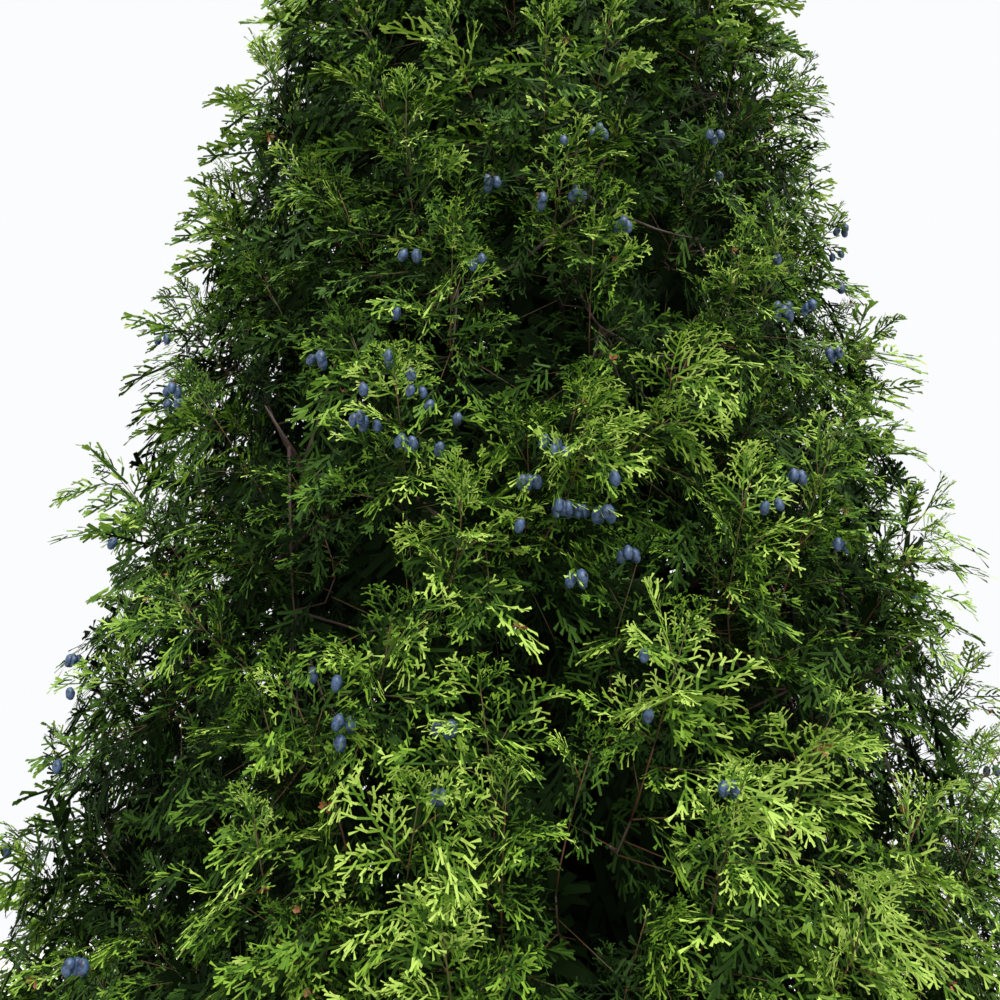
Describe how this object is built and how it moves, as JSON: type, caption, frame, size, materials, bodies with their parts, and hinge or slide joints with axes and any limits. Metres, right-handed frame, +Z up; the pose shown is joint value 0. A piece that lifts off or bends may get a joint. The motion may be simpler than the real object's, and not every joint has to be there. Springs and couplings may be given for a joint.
{
  "type": "cedar tree",
  "caption": "Broad cone-shaped cedar with one straight trunk, ascending boughs and dense masses of flat, drooping scale-leaved sprays, rooted at ground level.",
  "frame": {"origin": "middle of the flat cut under the trunk, at ground level", "axes": "+Z up the trunk; -Y towards the side that the picture shows; +X to the right in the picture"},
  "size_m": [2.2897, 2.2932, 6.3609],
  "materials": {
    "bark": "fibrous",
    "foliage": "matte",
    "twigs": "smooth",
    "cones": "waxy"
  },
  "bodies": {
    "root": {"trunk": "bark", "bough-01": "bark", "foliage-01": "foliage", "bough-02": "bark", "foliage-02": "foliage", "bough-03": "bark", "foliage-03": "foliage", "bough-04": "bark", "foliage-04": "foliage", "bough-05": "bark", "foliage-05": "foliage", "bough-06": "bark", "foliage-06": "foliage", "bough-07": "bark", "foliage-07": "foliage", "bough-08": "bark", "foliage-08": "foliage", "bough-09": "bark", "foliage-09": "foliage", "bough-10": "bark", "foliage-10": "foliage", "bough-11": "bark", "foliage-11": "foliage", "bough-12": "bark", "foliage-12": "foliage", "bough-13": "bark", "foliage-13": "foliage", "bough-14": "bark", "foliage-14": "foliage", "bough-15": "bark", "foliage-15": "foliage", "bough-16": "bark", "foliage-16": "foliage", "bough-17": "bark", "foliage-17": "foliage", "bough-18": "bark", "foliage-18": "foliage", "bough-19": "bark", "foliage-19": "foliage", "bough-20": "bark", "foliage-20": "foliage", "bough-21": "bark", "foliage-21": "foliage", "bough-22": "bark", "foliage-22": "foliage", "bough-23": "bark", "foliage-23": "foliage", "bough-24": "bark", "foliage-24": "foliage", "bough-25": "bark", "foliage-25": "foliage", "bough-26": "bark", "foliage-26": "foliage", "bough-27": "bark", "foliage-27": "foliage", "bough-28": "bark", "foliage-28": "foliage", "foliage-top": "foliage"}
  },
  "joints": []
}
